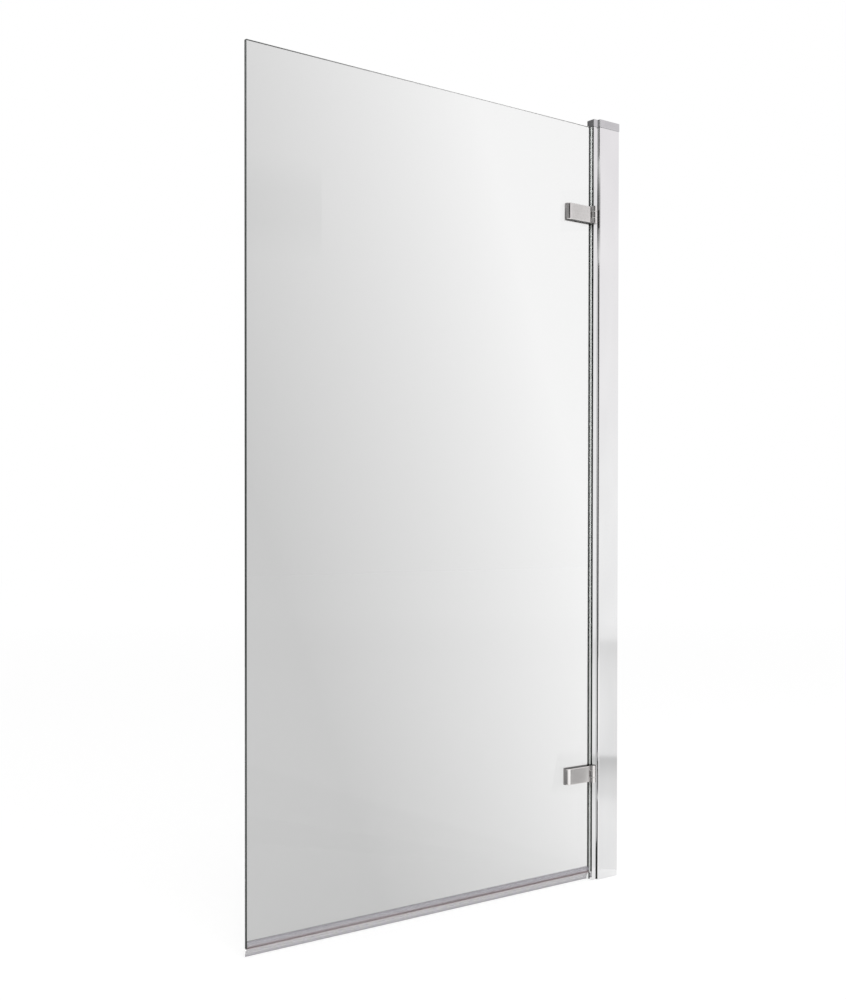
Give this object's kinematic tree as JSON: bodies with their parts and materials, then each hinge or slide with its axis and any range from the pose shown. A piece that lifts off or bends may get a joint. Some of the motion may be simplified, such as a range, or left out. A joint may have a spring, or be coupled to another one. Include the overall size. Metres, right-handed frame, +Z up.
{
  "type": "bath screen",
  "caption": "Hinged bath screen: a clear glass pane on clamp hinges, carried by a wall post that slides in a channel, with a wiping seal along its lower edge.",
  "frame": {"origin": "on the wall face of the channel, at its foot on the rim of the bath, in the middle of its thickness", "axes": "+Z up; +X out of the screen into the wall, along the closed pane; -Y the dry side, where the hinge barrels stand and the pane swings to"},
  "size_m": [0.8, 0.0364, 1.43],
  "materials": {
    "clear_glass": "polished, with ground edges",
    "polished_aluminium": "bright polished and anodised",
    "hinge_chrome": "bright chrome plate",
    "cap_plastic": "satin silver grey",
    "clear_seal": "clear soft extrusion, faintly mauve",
    "gasket_rubber": "clear to grey, matt",
    "nylon": "natural",
    "stainless": "bright"
  },
  "bodies": {
    "wall_frame": {"wall_channel": "polished_aluminium", "channel_cap": "cap_plastic", "side_screws": "stainless", "clamp_nuts": "stainless", "side_screw_covers": "hinge_chrome"},
    "hinge_post": {"adjusting_post": "polished_aluminium", "post_cap": "cap_plastic", "side_seal_lower": "clear_seal", "side_seal_middle": "clear_seal", "side_seal_upper": "clear_seal", "upper_hinge_bracket": "hinge_chrome", "upper_bracket_screws": "stainless", "upper_hinge_bushes": "nylon", "lower_hinge_bracket": "hinge_chrome", "lower_bracket_screws": "stainless", "lower_hinge_bushes": "nylon"},
    "glass_leaf": {"glass_pane": "clear_glass", "drip_seal": "clear_seal", "upper_hinge_leaf": "hinge_chrome", "upper_hinge_pin": "stainless", "upper_clamp_plate": "hinge_chrome", "upper_clamp_screws": "stainless", "upper_outer_gasket": "gasket_rubber", "upper_inner_gasket": "gasket_rubber", "upper_hole_liners": "nylon", "lower_hinge_leaf": "hinge_chrome", "lower_hinge_pin": "stainless", "lower_clamp_plate": "hinge_chrome", "lower_clamp_screws": "stainless", "lower_outer_gasket": "gasket_rubber", "lower_inner_gasket": "gasket_rubber", "lower_hole_liners": "nylon"}
  },
  "joints": [
    {"name": "width_adjust", "type": "slide", "parent": "wall_frame", "child": "hinge_post", "axis": [-1, 0, 0], "range_m": [0, 0.02]},
    {"name": "screen_swing", "type": "hinge", "parent": "hinge_post", "child": "glass_leaf", "pos_m": [-0.06698, -0.01347, 0.72], "axis": [0, 0, 1], "range_deg": [0, 90]}
  ]
}
